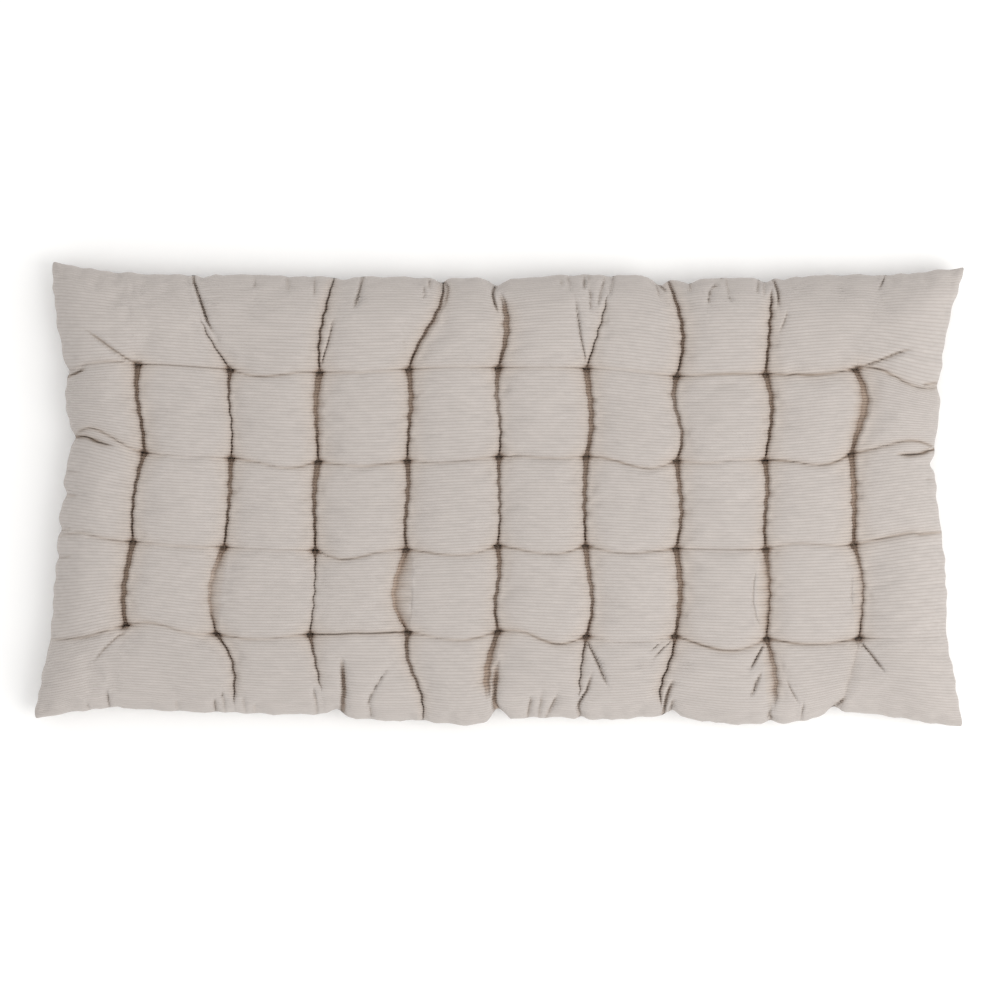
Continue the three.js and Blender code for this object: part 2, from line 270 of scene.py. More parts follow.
# Where the mesh is cut across one cell: flat is the share of the crease's floor, slope the share of its steep
# side and mid the way from the left crease to the right one.
slopeCuts = (0, 0.15, 0.45, 1)
midCuts = (0.02, 0.045, 0.075, 0.11, 0.15, 0.195, 0.245, 0.295, 0.345, 0.395, 0.45, 0.5,
           0.55, 0.605, 0.655, 0.705, 0.755, 0.805, 0.85, 0.89, 0.925, 0.955, 0.98)
stations = [{"mid": 0, "flat": 0, "slope": 0}]
stations += [{"mid": 0, "flat": 1, "slope": cut} for cut in slopeCuts]
stations += [{"mid": cut, "flat": 1, "slope": 1} for cut in midCuts]
stations += [{"mid": 1, "flat": 1, "slope": cut} for cut in reversed(slopeCuts[:-1])]


def mix(a, b, share):
    return a + (b - a) * share


def smooth(x):
    x = np.clip(x, 0, 1)
    return x * x * (3 - 2 * x)


def falling(distance, reach):
    return np.clip(1 - np.maximum(distance, 0) / reach, 0, 1)


def flank(distance, reach):
    left = falling(distance, reach)
    return 1 - np.sqrt(1 - left * left)


# The steep side of a crease: round where it is short, straight where a facet leans in.
def leaning(distance, reach):
    straightness = smooth((reach - cover["foldReach"]) / cover["facetBlend"])
    return mix(flank(distance, reach), falling(distance, reach), straightness)


def rise(distance, roll):
    left = falling(distance, roll)
    return (1 - left * left) ** cover["wedge"]


# A smooth curve through evenly spaced values, read at a fractional place along them.
def throughValues(values, at):
    cell = np.clip(np.floor(at).astype(int), 0, len(values) - 2)
    part = at - cell
    before = values[np.maximum(cell - 1, 0)]
    start = values[cell]
    end = values[cell + 1]
    after = values[np.minimum(cell + 2, len(values) - 1)]
    bend = 2 * before - 5 * start + 4 * end - after + part * (3 * (start - end) + after - before)
    return start + 0.5 * part * (end - before + part * bend)


def columnTable(name):
    return np.array([fold[name] for fold in columnFolds], float).swapaxes(0, 1)


def rowTable(name):
    seam = [[0] * (lastCell + 1)]
    return np.array(seam + [fold[name] for fold in rowFolds] + seam, float)


bowTable, waverTable, deepTable = columnTable("bow"), columnTable("waver"), columnTable("deep")
wideTable, leafTable = columnTable("wide"), columnTable("leaf")
sagTable, skewTable, hollowTable, lineTable = [rowTable(name) for name in ("sag", "skew", "deep", "line")]
backEnd = np.array([fold["backEnd"] for fold in columnFolds], float)
frontEnd = np.array([fold["frontEnd"] for fold in columnFolds], float)
leftReachTable = np.full((lastRow + 1, lastCell + 2), float(cover["foldReach"]))
rightReachTable = leftReachTable.copy()
for facet in facets:
    leftReachTable[facet["row"], facet["column"]] = facet["left"]
    rightReachTable[facet["row"], facet["column"]] = facet["right"]


# One crease line's place, floor and sides in the stretch below row line `row`, at a share of that stretch.
def creaseLine(column, row, share):
    swing = np.sin(math.pi * share)
    x = mix(crossX[row, column], crossX[row + 1, column], share)
    x = x + bowTable[row, column] * swing + waverTable[row, column] * np.sin(2 * math.pi * share)
    inside = (column > 0) & (column <= lastCell)
    high = crossY[row, column] - crossY[row + 1, column]
    wander = cover["foldWander"] * swing * np.sin(share * high * 0.33 + column * 2.1 + row)
    x = x + np.where(inside, wander, 0)
    below = np.where(row > 0, share * high, farOff)
    above = np.where(row < lastRow, (1 - share) * high, farOff)
    wide = mix(wideTable[row, column, 0], wideTable[row, column, 1], share) + leafTable[row, column] * swing
    half = 0.5 * np.maximum(wide - cover["foldBlur"], cover["foldLeast"])
    slotted = np.maximum(np.exp(-((below / cover["slotBelow"]) ** 2)),
                         np.exp(-((above / cover["slotAbove"]) ** 2)))
    half = np.where(inside, mix(half, cover["slotHalf"], slotted), 0)
    ending = np.where(row == 0, (backEnd[column] - 1 + share) / cover["endShare"], 1)
    ending = np.where(row == lastRow, (frontEnd[column] - share) / cover["endShare"], ending)
    reach = cover["foldReach"]
    return {
        "x": x,
        "half": half,
        "fromTuft": np.minimum(below, above),
        "high": high,
        "inside": inside,
        "running": smooth(ending),
        "leftReach": mix(reach, leftReachTable[row, column], swing),
        "rightReach": mix(reach, rightReachTable[row, column], swing),
    }


# The shares of a stretch at which its ribs lie, evenly spaced over the roll down to the seam.
def ribShares(row):
    count = cover["ribsInRow"][row] * cover["ribRows"]
    even = np.linspace(0, 1, count + 1)
    if row not in (0, lastRow):
        return even[:-1]
    fine = np.linspace(0, 1, 2000)
    fromSeam = fine * cover["marginWide"]
    height = (cover["crown"] - cover["seam"]) * rise(fromSeam, cover["topRoll"])
    length = np.concatenate([[0], np.cumsum(np.hypot(np.diff(fromSeam), np.diff(height)))])
    shares = np.interp(even * length[-1], length, fine)
    if row == lastRow:
        shares = 1 - shares[::-1]
    return shares[:-1]


def grooveRows():
    rows, shares = [], []
    for row in range(lastRow + 1):
        part = ribShares(row)
        rows += [row] * len(part)
        shares += list(part)
    return np.array(rows + [lastRow]), np.array(shares + [1.0])


# A pleat's form. Its start is the share of its length over which it sets in, and past how far it runs on.
pleatForm = {
    "start": 0.4,
    "past": 6,
    "reach": 3.5,
    "sideReach": 6.5,
    "sharpShare": 0.7,
    "softShare": 0.3,
    "softReach": 22,
    # how dark the painted shade line along a side pleat is drawn, for each millimetre of its depth
    "sideDark": 0.3,
}


# A pleat's middle and its strength beside each point. It runs mostly along `axis`.
def pleatField(pleat, along, axis):
    route = np.array(pleat["route"], float)
    steps = np.arange(len(route))
    order = 1 if route[-1, axis] > route[0, axis] else -1
    at = np.interp(along * order, route[:, axis] * order, steps)
    share = (along - route[0, axis]) / (route[-1, axis] - route[0, axis])
    past = pleatForm["past"] / abs(route[-1, axis] - route[0, axis])
    start = pleatForm["start"]
    fade = smooth(share / start)
    fade = fade * (smooth((1 + past - share) / past) if pleat["open"] else smooth((1 - share) / start))
    return throughValues(route[:, 1 - axis], at), fade


# How strongly the mesh is drawn together beside a pleat, over what width and from how far beyond its ends.
drawing = {"samples": 90, "least": 2.5, "perDepth": 0.25, "wide": 5.5, "beyond": 25}


# The mid cuts of every row and cell, drawn together beside the pleats.
def gatheredMids(level, leftEdge, rightEdge):
    even = np.linspace(0, 1, drawing["samples"])
    mids = np.array([station["mid"] for station in stations], float)
    gathered = np.empty((level.shape[0], lastCell + 1, len(stations)))
    x = mix(leftEdge[..., None], rightEdge[..., None], even)
    crowd = np.ones_like(x)
    for pleat in pleats:
        middle, fade = pleatField(pleat, level, 1)
        low, high = sorted((pleat["route"][0][1], pleat["route"][-1][1]))
        beyond = drawing["beyond"]
        near = smooth((level - low + beyond) / beyond) * smooth((high + beyond - level) / beyond)
        strength = (drawing["least"] + drawing["perDepth"] * pleat["deep"]) * near[..., None]
        crowd += strength * np.exp(-(((x - middle[..., None]) / drawing["wide"]) ** 2))
    total = np.concatenate([np.zeros_like(crowd[..., :1]), np.cumsum(crowd[..., 1:], axis=2)], axis=2)
    total /= total[..., -1:]
    for row in range(level.shape[0]):
        for cell in range(lastCell + 1):
            gathered[row, cell] = np.interp(mids, total[row, cell], even)
    return gathered


# Rounds one corner of the plan.
def roundEar(x, y, corner, alongRow, alongColumn):
    tip = np.array([x[corner], y[corner]])
    first = np.array([x[alongRow], y[alongRow]]) - tip
    second = np.array([x[alongColumn], y[alongColumn]]) - tip
    first, second = first / np.linalg.norm(first), second / np.linalg.norm(second)
    back = np.linalg.inv(np.stack([first, second], axis=1))
    a = back[0, 0] * (x - tip[0]) + back[0, 1] * (y - tip[1])
    b = back[1, 0] * (x - tip[0]) + back[1, 1] * (y - tip[1])
    reach = cover["earRound"]
    u, v = np.clip(1 - a / reach, 0, 1), np.clip(1 - b / reach, 0, 1)
    a = np.where(u > 0, reach * (1 - u * np.sqrt(1 - v * v / 2)), a)
    b = np.where(v > 0, reach * (1 - v * np.sqrt(1 - u * u / 2)), b)
    near = (u > 0) & (v > 0)
    x = np.where(near, tip[0] + a * first[0] + b * second[0], x)
    y = np.where(near, tip[1] + a * first[1] + b * second[1], y)
    return x, y


# How strongly a level crease's painted shade is drawn at a distance from its line.
def lineFade(distance):
    return smooth((cover["lineFrom"] - distance) / cover["lineOver"])


# The seam's ripples: how deep they are in height and in plan, how long and how far they reach in.
ripple = {
    "deep": 1.3,
    "planDeep": 0.7,
    "long": 4.4,
    "bend": 1.4,
    "bendLong": 21,
    "slow": 0.8,
    "slowLong": 7.9,
    "middle": 4,
    "reach": 13,
    "planReach": 9,
    "gatherReach": 14,
    "sway": 1.2,         # of the whole seam, up and down
    "swayLong": 41,
    "sideSway": 1.0,
    "sideSwayLong": 33,
}


# The cover's plan and height at every row and column of the fine mesh.
def coverPoints(side):
    row, share = grooveRows()
    row, share = row[:, None], share[:, None]
    cells = np.arange(lastCell + 1)[None, :] + np.zeros_like(row)
    left, right = creaseLine(cells, row, share), creaseLine(cells + 1, row, share)
    level = mix(crossY[row, cells], crossY[row + 1, cells], share)
    mid = gatheredMids(level, left["x"] + left["half"] + left["rightReach"],
                       right["x"] - right["half"] - right["leftReach"])
    mid = np.append(mid.reshape(len(row), -1), np.ones((len(row), 1)), axis=1)
    flat, slope = [np.append(np.tile([station[name] for station in stations], lastCell + 1), 0.0)
                   for name in ("flat", "slope")]
    cell = np.append(np.repeat(np.arange(lastCell + 1), len(stations)), lastCell)[None, :]
    cell = cell + np.zeros_like(row)
    left = creaseLine(cell, row, share)
    right = creaseLine(cell + 1, row, share)
    x = mix(left["x"] + flat * left["half"] + slope * left["rightReach"],
            right["x"] - flat * right["half"] - slope * right["leftReach"], mid)
    wide = right["x"] - left["x"]
    s = cell + np.clip((x - left["x"]) / wide, 0, 1)
    lines = np.stack([throughValues(crossY[k], s) for k in range(lastRow + 2)])
    part = s - cell
    lines[0] += backBulge[cell] * np.sin(math.pi * part)
    lines[-1] -= frontBulge[cell] * np.sin(math.pi * part)
    backLine = np.take_along_axis(lines, (row + np.zeros_like(cell))[None], 0)[0]
    frontLine = np.take_along_axis(lines, (row + 1 + np.zeros_like(cell))[None], 0)[0]
    y = mix(backLine, frontLine, share)
    fromLeft, fromRight = x - left["x"], right["x"] - x

    # Depth of the creases from back to front.
    pit = {"top": cover["crown"] - cover["tuftTop"], "under": cover["tuftUnder"] + cover["floorPress"]}[side]
    pit = pit / 2 ** (1 / cover["meeting"])
    sideShare = 1 if side == "top" else cover["underShare"]

    def columnDepth(line, column, distance, reach):
        near = np.clip(1 - 2 * line["fromTuft"] / line["high"], 0, 1)
        run = deepTable[row, column] * line["running"]
        spread = mix(cover["slotSpread"], cover["pitSpread"], smooth(run / cover["foldFull"]))
        deep = mix(run * sideShare, pit, near ** spread)
        beyond = distance - line["half"]
        fall = cover["foldShare"] * leaning(beyond, reach)
        fall = fall + (1 - cover["foldShare"]) * flank(beyond, cover["shoulderReach"])
        return np.where(line["inside"], deep * fall, 0)

    folds = np.maximum(columnDepth(left, cell, fromLeft, left["rightReach"]),
                       columnDepth(right, cell + 1, fromRight, right["leftReach"]))

    # Depth of the creases from left to right.
    toTuft = np.minimum(np.where(left["inside"], fromLeft, farOff),
                        np.where(right["inside"], fromRight, farOff))
    near = np.clip(1 - 2 * np.maximum(toTuft - cover["slotHalf"], 0) / wide, 0, 1)
    slot = near ** cover["slotArm"]

    def rowDepth(number, lineY):
        creased = lineY - sagTable[number, cell] * np.sin(math.pi * part)
        creased = creased - skewTable[number, cell] * np.sin(2 * math.pi * part)
        distance = np.abs(y - creased)
        sharp = mix(lineTable[number, cell] * sideShare, cover["pitSharp"] * pit, slot)
        soft = mix(hollowTable[number, cell] * sideShare, (1 - cover["pitSharp"]) * pit,
                   near ** cover["pitSpread"])
        inside = (number > 0) & (number <= lastRow)
        drop = sharp * flank(distance - cover["slotGap"] * slot, cover["lineReach"])
        drop = np.where(inside, drop + soft * flank(distance, cover["shoulderReach"]), 0)
        # The painted shade line along this crease, a little stronger and weaker along its length.
        dark = lineTable[number, cell] * (0.66 + 0.34 * np.sin(7.3 * s + 2.7 * number))
        return drop, y - creased, dark * lineFade(distance)

    backDip, backGap, backDark = rowDepth(row, backLine)
    frontDip, frontGap, frontDark = rowDepth(row + 1, frontLine)
    dips = np.maximum(backDip, frontDip)
    nearBack = np.abs(backGap) < np.abs(frontGap)
    lineGap, lineDark = np.where(nearBack, backGap, frontGap), np.where(nearBack, backDark, frontDark)
    drawn = (folds ** cover["meeting"] + dips ** cover["meeting"]) ** (1 / cover["meeting"])

    # Pleats in the margins.
    pleated = np.zeros_like(x)
    for kind, axis, reach in ((pleats, 1, pleatForm["reach"]), (sidePleats, 0, pleatForm["sideReach"])):
        for pleat in kind:
            along, across = (y, x) if axis else (x, y)
            middle, fade = pleatField(pleat, along, axis)
            distance = np.abs(across - middle)
            fall = pleatForm["sharpShare"] * flank(distance - 0.5 * pleat["wide"], reach)
            fall = fall + pleatForm["softShare"] * flank(distance, pleatForm["softReach"])
            pleated = np.maximum(pleated, pleat["deep"] * fade * fall)
            # A pleat along the ribs also gets a painted shade line.
            if axis == 0:
                dark = pleatForm["sideDark"] * pleat["deep"] * fade * lineFade(distance)
                lineGap = np.where(dark > lineDark, across - middle, lineGap)
                lineDark = np.maximum(lineDark, dark)
    pleated = pleated * sideShare

    # The roll down to the seam.
    roll = cover["topRoll"] if side == "top" else cover["underRoll"]
    seamGap = np.full_like(x, farOff)
    up = np.ones_like(x)
    ruffle, ruffleX, ruffleY = np.zeros_like(x), np.zeros_like(x), np.zeros_like(x)
    for here, distance, along, inwardX, inwardY in (
            (cell == 0, fromLeft, y, 1, 0), (cell == lastCell, fromRight, y + 900, -1, 0),
            (row == 0, lines[0] - y, x, 0, -1), (row == lastRow, y - lines[-1], x + 1700, 0, 1)):
        up = up * np.where(here, rise(distance, roll), 1)
        seamGap = np.minimum(seamGap, np.where(here, distance, farOff))
        wave = np.sin(along / ripple["long"] + ripple["bend"] * np.sin(along / ripple["bendLong"]))
        wave = np.where(here, wave + ripple["slow"] * np.sin(along / ripple["slowLong"] + 2), 0)
        inward = np.exp(-(((distance - ripple["middle"]) / ripple["reach"]) ** 2))
        ruffle = ruffle + np.maximum(wave, 0) * inward
        ruffleX = ruffleX + inwardX * wave * np.exp(-distance / ripple["planReach"])
        ruffleY = ruffleY + inwardY * wave * np.exp(-distance / ripple["planReach"])
    full = (cover["crown"] - cover["seam"]) if side == "top" else (cover["seam"] + cover["floorPress"])
    fallen = np.hypot(drawn * up ** cover["foldKeep"], pleated * up ** cover["pleatKeep"])
    lift = full * up - fallen - ripple["deep"] * ruffle
    lift = 0.5 * (lift + np.sqrt(lift ** 2 + (cover["pitRound"] * up) ** 2))
    sway = ripple["sway"] * np.sin(x / ripple["swayLong"])
    seamHeight = cover["seam"] + sway + ripple["sideSway"] * np.sin(y / ripple["sideSwayLong"] + x / 67)
    z = seamHeight + lift if side == "top" else np.maximum(seamHeight - lift, cover["underLeast"])

    # The seam gathered in.
    x = x + ripple["planDeep"] * ruffleX
    y = y + ripple["planDeep"] * ruffleY
    for gather in gathers:
        upright = gather["side"] in ("back", "front")
        distance = (x if upright else y) - gather["at"]
        fromSeam = {"back": lines[0] - y, "front": y - lines[-1], "left": fromLeft, "right": fromRight}
        fromSeam = np.where({"back": row == 0, "front": row == lastRow, "left": cell == 0,
                             "right": cell == lastCell}[gather["side"]], fromSeam[gather["side"]], farOff)
        pull = gather["deep"] * np.exp(-((distance / gather["wide"]) ** 2))
        pull = pull * np.exp(-fromSeam / ripple["gatherReach"])
        if upright:
            y = y + pull * (-1 if gather["side"] == "back" else 1)
        else:
            x = x + pull * (1 if gather["side"] == "left" else -1)
    for endRow in (0, -1):
        for endColumn in (0, -1):
            inRow, inColumn = (20, -21)[endRow], (20, -21)[endColumn]   # well past the rounding
            x, y = roundEar(x, y, np.s_[endRow, endColumn], np.s_[endRow, inColumn], np.s_[inRow, endColumn])
    return {"points": np.stack([x, y, z], axis=2), "seamGap": seamGap, "drawn": np.hypot(drawn, pleated),
            "shade": fallen, "lineGap": lineGap, "lineDark": lineDark}


# Outward normals of a grid of points.
def gridNormals(points, side):
    acrossGrid = np.gradient(points, axis=0)
    alongGrid = np.gradient(points, axis=1)
    normals = np.cross(acrossGrid, alongGrid)
    normals /= np.maximum(np.linalg.norm(normals, axis=2, keepdims=True), 1e-12)
    return normals if side == "top" else -normals


# A grid mesh whose first row is the back edge and first column the left one. It also gives each vertex's row
# and column.
def gridMesh(name, points):
    rows, columns = points.shape[:2]
    bm = bmesh.new()
    bmesh.ops.create_grid(bm, x_segments=columns - 1, y_segments=rows - 1, size=0.5)
    mesh = bpy.data.meshes.new(name)
    bm.to_mesh(mesh)
    bm.free()
    grid = np.empty(len(mesh.vertices) * 3)
    mesh.vertices.foreach_get("co", grid)
    grid = grid.reshape(-1, 3) + 0.5
    column = np.rint(grid[:, 0] * (columns - 1)).astype(int)
    row = rows - 1 - np.rint(grid[:, 1] * (rows - 1)).astype(int)
    mesh.vertices.foreach_set("co", (points[row, column] * mm).ravel())
    return mesh, row, column


def addObject(name, data):
    made = bpy.data.objects.new(name, data)
    bpy.context.collection.objects.link(made)
    return made


# Cloth simulation on a coarse copy of one panel: the filling's pressure fills the pillows out between the
# seam, the tufts and the creases, and the cloth, cut a little larger than its shape, puckers along them.
settle = {
    "rowStep": 3,
    "columns": 201,
    "growth": 0.014,
    "pressure": 4,
    "frames": 16,
    "cap": 6,
    "bending": 1.5,
    "stretch": 20,
    "shear": 8,
    "mass": 0.3,
    "airDrag": 2,
    "holdFree": 0.02,
    "holdFrom": 4,       # the crease's depth from which it holds the cloth
    "holdOver": 9,
    "seamHold": 5,
}


def settledShift(shape, side):
    points = shape["points"]
    picked = np.arange(0, len(points), settle["rowStep"])
    if picked[-1] != len(points) - 1:
        picked = np.append(picked, len(points) - 1)
    even = np.linspace(0, 1, settle["columns"])
    firstX, lastX = points[:, :1, 0], points[:, -1:, 0]
    across = (points[..., 0] - firstX) / (lastX - firstX)
    hold = smooth((shape["drawn"] - settle["holdFrom"]) / settle["holdOver"])
    hold = np.maximum(hold, smooth(1 - shape["seamGap"] / settle["seamHold"]))
    hold = np.maximum(hold, settle["holdFree"])
    coarse = np.stack([np.stack([np.interp(even, across[r], points[r, :, k]) for k in range(3)], axis=1)
                       for r in picked])
    weight = np.stack([np.interp(even, across[r], hold[r]) for r in picked])
    weight[0], weight[-1], weight[:, 0], weight[:, -1] = 1, 1, 1, 1

    mesh, row, column = gridMesh("settling", coarse)
    sheet = addObject("settling", mesh)
    group = sheet.vertex_groups.new(name="held")
    for vertex, value in enumerate(weight[row, column]):
        group.add([vertex], float(value), "REPLACE")
    cloth = sheet.modifiers.new("settling", "CLOTH")
    cloth.settings.quality = 6
    cloth.settings.mass = settle["mass"]
    cloth.settings.tension_stiffness = settle["stretch"]
    cloth.settings.compression_stiffness = settle["stretch"]
    cloth.settings.shear_stiffness = settle["shear"]
    cloth.settings.bending_stiffness = settle["bending"]
    cloth.settings.air_damping = settle["airDrag"]
    cloth.settings.vertex_group_mass = "held"
    cloth.settings.shrink_min = -settle["growth"]
    cloth.settings.use_pressure = True
    cloth.settings.uniform_pressure_force = settle["pressure"] * (1 if side == "top" else -1)
    cloth.settings.effector_weights.gravity = 0
    cloth.collision_settings.use_collision = False
    cloth.point_cache.frame_start = 1
    cloth.point_cache.frame_end = settle["frames"]
    for tick in range(1, settle["frames"] + 1):
        bpy.context.scene.frame_set(tick)
    settled = sheet.evaluated_get(bpy.context.evaluated_depsgraph_get()).to_mesh()
    place = np.empty(len(settled.vertices) * 3)
    settled.vertices.foreach_get("co", place)
    moved = np.zeros_like(coarse)
    moved[row, column] = place.reshape(-1, 3) / mm - coarse[row, column]
    bpy.data.objects.remove(sheet)
    bpy.data.meshes.remove(mesh)
    bpy.context.scene.frame_set(1)

    size = np.linalg.norm(moved, axis=2, keepdims=True)
    print("settled", side, "largest", size.max().round(2), "mean", size.mean().round(2))
    moved = moved * settle["cap"] * np.tanh(size / settle["cap"]) / np.maximum(size, 1e-9)
    between = np.interp(np.arange(len(points)), picked, np.arange(len(picked)))
    rowsMoved = np.stack([np.stack([throughValues(moved[:, c, k], between) for k in range(3)], axis=1)
                          for c in range(settle["columns"])], axis=1)
    return np.stack([np.stack([throughValues(rowsMoved[r, :, k], across[r] * (settle["columns"] - 1))
                               for k in range(3)], axis=1) for r in range(len(points))])


# The panels: how the ribs rise in the creases, what the stored shades are measured against, in millimetres,
# and how the cloth turns in behind the seam.
panelForm = {
    "ribGrowth": 1.1,
    "ribGrowthDepth": 9,
    "ribEnd": 4,
    "ribPressed": 3,
    "shadeFull": 22,
    "gapFull": 12,
    "darkFull": 6,
    "turnIn": (0.985, 0.97, 1),
}


def makePanel(name, side):
    shape = coverPoints(side)
    points = shape["points"]
    points = points + settledShift(shape, side)
    if side == "under":
        points[..., 2] = np.maximum(points[..., 2], cover["underLeast"])
    rows = len(points)
    normals = gridNormals(points, side)
    turn = np.arange(rows)[:, None] / cover["ribRows"]
    grown = smooth(shape["shade"] / panelForm["ribGrowthDepth"])
    raised = cover["ribHeight"] * (1 + panelForm["ribGrowth"] * grown)
    rib = -np.cos(2 * math.pi * turn) * raised * smooth(shape["seamGap"] / panelForm["ribEnd"])
    if side == "under":
        rib = rib * smooth(points[..., 2] / panelForm["ribPressed"])
    points = points + normals * rib[..., None]
    points[..., 2] = np.maximum(points[..., 2], cover["underLeast"])
    mesh, row, column = gridMesh(name, points)

    clothMap = mesh.uv_layers.new(name="clothMap")
    corner = np.empty(len(mesh.loops), int)
    mesh.loops.foreach_get("vertex_index", corner)
    clothX = crossX[2, 0] + np.cumsum(np.concatenate([[0], np.linalg.norm(
        np.diff(points[rows // 2], axis=0), axis=1)]))
    clothU = clothX[column] * mm
    clothV = -row / cover["ribRows"] * cover["ribPitch"] * mm
    clothMap.data.foreach_set("uv", np.stack([clothU[corner], clothV[corner]], axis=1).ravel())
    for label, values in (("foldShade", np.clip(shape["shade"] / panelForm["shadeFull"], 0, 1)),
                          ("lineGap", np.clip(shape["lineGap"] / panelForm["gapFull"], -1, 1)),
                          ("lineDark", np.clip(shape["lineDark"] / panelForm["darkFull"], 0, 1))):
        stored = mesh.attributes.new(label, "FLOAT", "POINT")
        stored.data.foreach_set("value", values[row, column].astype(np.float32))

    # The cloth turns sharply in the grooves between its ribs.
    ends = np.empty(len(mesh.edges) * 2, int)
    mesh.edges.foreach_get("vertices", ends)
    first, second = row[ends.reshape(-1, 2)].T
    inGroove = (first == second) & (first % cover["ribRows"] == 0) & (first > 0) & (first < rows - 1)
    mesh.attributes.new("sharp_edge", "BOOLEAN", "EDGE").data.foreach_set("value", inGroove)

    bm = bmesh.new()
    bm.from_mesh(mesh)
    if side == "under":
        bmesh.ops.reverse_faces(bm, faces=bm.faces)
    rim = [edge for edge in bm.edges if edge.is_boundary]
    turned = bmesh.ops.extrude_edge_only(bm, edges=rim)["geom"]
    inner = [v for v in turned if isinstance(v, bmesh.types.BMVert)]
    bmesh.ops.scale(bm, vec=panelForm["turnIn"], verts=inner)
    innerRim = [edge for edge in turned if isinstance(edge, bmesh.types.BMEdge)]
    bmesh.ops.triangle_fill(bm, edges=innerRim, use_beauty=False)
    for face in bm.faces:
        face.smooth = True
    bm.to_mesh(mesh)
    bm.free()
    panel = addObject(name, mesh)
    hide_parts("filled_cover")
    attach(panel, "root")
    print(name, "made:", len(mesh.polygons), "faces")
    return panel


topPanel = makePanel("top_panel", "top")
underPanel = makePanel("under_panel", "under")

# The tufts: a few turns of thread side by side, which dip into the cloth at both ends.
tuft = {
    "turns": 4,
    "long": 10.5,
    "thick": 1.1,
    "pitch": 0.85,
    "dip": 1.6,
    "topHeight": 44.9,
    "underHeight": 20.8,
    "lean": 0.09,        # how far a tuft turns off the ribs
    "spread": 0.06,
    "taper": 0.25,
    "crossing": 0.25,
}


def makeTufts(name, side):
    bm = bmesh.new()
    height = tuft["topHeight"] if side == "top" else tuft["underHeight"]
    upward = 1 if side == "top" else -1
    for row in range(1, lastRow + 1):
        for column in range(1, lastCell + 1):
            lean = tuft["lean"] * math.sin(row * 5.1 + column * 3.7)
            for turn in range(tuft["turns"]):
                made = bmesh.ops.create_uvsphere(bm, u_segments=7, v_segments=8, radius=1)["verts"]
                offset = (turn - (tuft["turns"] - 1) / 2) * tuft["pitch"]
                slant = lean + tuft["spread"] * math.sin(turn * 2.3 + row + column * 1.9)
                for v in made:
                    beside, over, along = v.co
                    x = along * tuft["long"] / 2
                    y = beside * tuft["thick"] / 2 + offset * (1 - tuft["taper"] * along * along) + slant * x
                    z = over * tuft["thick"] / 2 - tuft["dip"] * along ** 4 + tuft["crossing"] * (turn % 2)
                    v.co = Vector(((crossX[row, column] + x) * mm, (crossY[row, column] + y) * mm,
                                   (height + upward * z) * mm))
    bmesh.ops.recalc_face_normals(bm, faces=bm.faces)
    for face in bm.faces:
        face.smooth = True
    mesh = bpy.data.meshes.new(name)
    bm.to_mesh(mesh)
    bm.free()
    tufts = addObject(name, mesh)
    if side == "top":
        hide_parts(*[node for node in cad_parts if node.startswith("tuft_tack")])
    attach(tufts, "root")
    print(name, "made:", len(mesh.polygons), "faces")
    return tufts


topTufts = makeTufts("tuft_threads", "top")
underTufts = makeTufts("under_tuft_threads", "under")

# Materials
clothLook = {
    "crown": (0.463, 0.427, 0.406, 1),
    # groove is painted shade: a darker copy of the cloth colour laid in the grooves between the ribs
    "groove": (0.413, 0.373, 0.348, 1),
    # slope is painted light: a warmer, lighter copy of the cloth colour for the light bounced beside the
    # creases
    "slope": (0.5, 0.443, 0.4, 1),
    # The fold colours are painted light and shade in the creases: a warm brown for the light bounced inside
    # them, a dark brown in their rib grooves
    "fold": (0.51, 0.39, 0.305, 1),
    "foldGrooveShade": (0.24, 0.165, 0.12, 1),
    # line is painted shade: the thin dark line drawn along the level creases and the side pleats
    "line": (0.2, 0.145, 0.105, 1),
    "lineWide": 1.7,
    "ribPitch": cover["ribPitch"] * mm,
    # where the painted shade and bounced light in the creases set in and how strong they get
    "deepFrom": 0.18,    # shares of the full shade
    "deepTo": 0.95,
    "deepMost": 0.75,
    # where the painted light beside the creases sets in and how strong it gets, as shares of the full shade
    "paintedLightFrom": 0.06,
    "paintedLightTo": 0.24,
    "paintedLightMost": 0.7,
    "mottleSize": 7.0,
    "mottle": 0.1,
    "streak": 0.26,
    "fluff": 0.3,
    "bump": 0.45,
    "sheen": 0.25,
}


def newGroup(name, inputs, outputs):
    group = bpy.data.node_groups.new(name, "ShaderNodeTree")
    for label, kind, value in inputs:
        socket = group.interface.new_socket(name=label, in_out="INPUT", socket_type=kind)
        if value is not None:
            socket.default_value = value
    for label, kind in outputs:
        group.interface.new_socket(name=label, in_out="OUTPUT", socket_type=kind)
    return group


def addNode(tree, kind, x, y, **values):
    node = tree.nodes.new(kind)
    node.location = (x, y)
    for key, value in values.items():
        setattr(node, key, value)
    return node


# Each socket, by its name or number, is given a value or linked to another node's socket.
def feed(tree, node, sockets):
    for label, value in sockets.items():
        if isinstance(value, bpy.types.NodeSocket):
            tree.links.new(value, node.inputs[label])
        else:
            node.inputs[label].default_value = value


def mathNode(tree, operation, x, y, *values):
    node = addNode(tree, "ShaderNodeMath", x, y, operation=operation)
    feed(tree, node, dict(enumerate(values)))
    return node.outputs[0]


def colourMix(tree, x, y, factor, first, second):
    node = addNode(tree, "ShaderNodeMix", x, y, data_type="RGBA", blend_type="MIX")
    feed(tree, node, {0: factor, 6: first, 7: second})
    return node.outputs[2]


def newMaterial(name):
    material = bpy.data.materials.new(name)
    material.use_nodes = True
    return material, material.node_tree, material.node_tree.nodes["Principled BSDF"]


